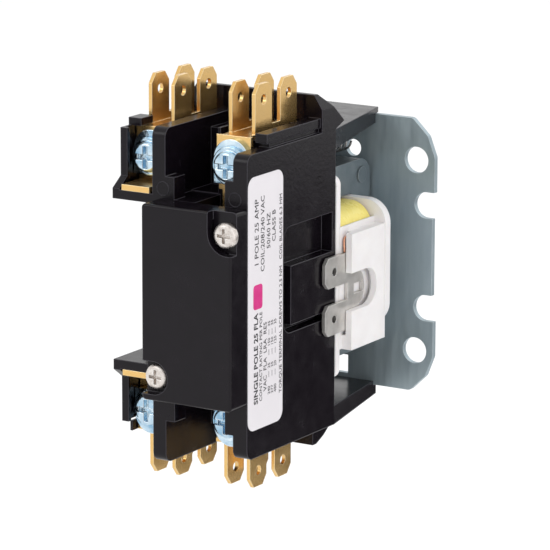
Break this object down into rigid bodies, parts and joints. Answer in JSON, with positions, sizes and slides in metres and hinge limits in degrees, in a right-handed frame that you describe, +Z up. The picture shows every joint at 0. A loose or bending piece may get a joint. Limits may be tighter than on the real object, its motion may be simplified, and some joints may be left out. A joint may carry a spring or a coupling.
{
  "type": "definite purpose contactor",
  "caption": "Compact single-pole contactor with a shunted second pole: black moulded body and cover, brass quick-connect and screw terminals, a coil and magnet on a slotted steel plate.",
  "frame": {"origin": "middle of the mounting plate, on its back face, midway between the four corner holes", "axes": "+Z up towards the line terminals, +Y out of the back of the mounting plate into the panel, +X to the right towards the label"},
  "size_m": [0.0492, 0.0676, 0.0832],
  "materials": {
    "zinc_plate": "satin zinc plate",
    "black_housing": "satin thermoset",
    "black_cover": "satin thermoset",
    "nickel_screw": "nickel plated",
    "zinc_screw": "blue zinc",
    "zinc_washer": "blue zinc",
    "brass_strap": "rolled",
    "brass_rivet": "rolled",
    "brass_plate": "rolled",
    "brass_tab": "rolled",
    "silver_contact": "satin",
    "copper_bridge": "rolled",
    "carrier_plastic": "moulded",
    "core_steel": "rolled",
    "rivet_steel": "satin",
    "spring_steel": "drawn wire",
    "copper_ring": "drawn",
    "cushion_rubber": "matt",
    "white_bobbin": "moulded nylon",
    "copper_winding": "enamelled",
    "yellow_tape": "polyester film",
    "tin_terminal": "tin plated",
    "copper_lead": "enamelled",
    "label_paper": "printed film"
  },
  "bodies": {
    "frame": {"base_plate": "zinc_plate", "bobbin": "white_bobbin", "clamp_washers": "zinc_washer", "coil_leads": "copper_lead", "coil_tape": "yellow_tape", "coil_terminals": "tin_terminal", "core_cushion": "cushion_rubber", "core_rivets": "rivet_steel", "cover_screws": "nickel_screw", "fixed_contacts": "silver_contact", "front_cover": "black_cover", "housing": "black_housing", "magnet_core": "core_steel", "quick_connect_line_shunt": "brass_tab", "quick_connect_line_switched": "brass_tab", "quick_connect_load_shunt": "brass_tab", "quick_connect_load_switched": "brass_tab", "rating_label": "label_paper", "return_springs": "spring_steel", "shading_rings": "copper_ring", "shunt_rivets": "brass_rivet", "shunt_strap": "brass_strap", "terminal_plate_line_shunt": "brass_plate", "terminal_plate_line_switched": "brass_plate", "terminal_plate_load_shunt": "brass_plate", "terminal_plate_load_switched": "brass_plate", "terminal_screws": "zinc_screw", "winding": "copper_winding"},
    "armature_carrier": {"contact_carrier": "carrier_plastic", "armature": "core_steel", "armature_rivets": "rivet_steel", "contact_spring": "spring_steel"},
    "contact_bridge_body": {"contact_bridge": "copper_bridge", "moving_contacts": "silver_contact"}
  },
  "joints": [
    {"name": "armature_slide", "type": "slide", "parent": "frame", "child": "armature_carrier", "axis": [0, 1, 0], "range_m": [0, 0.0034], "stiffness_N_per_m": 400, "springref_m": -0.004, "deforming": ["return_springs"]},
    {"name": "bridge_overtravel", "type": "slide", "parent": "armature_carrier", "child": "contact_bridge_body", "axis": [0, -1, 0], "range_m": [0, 0.00042], "stiffness_N_per_m": 900, "springref_m": -0.001, "deforming": ["contact_spring"]}
  ],
  "couplings": [
    {"joint": "bridge_overtravel", "follows": "armature_slide", "ratio": 0.12353}
  ]
}
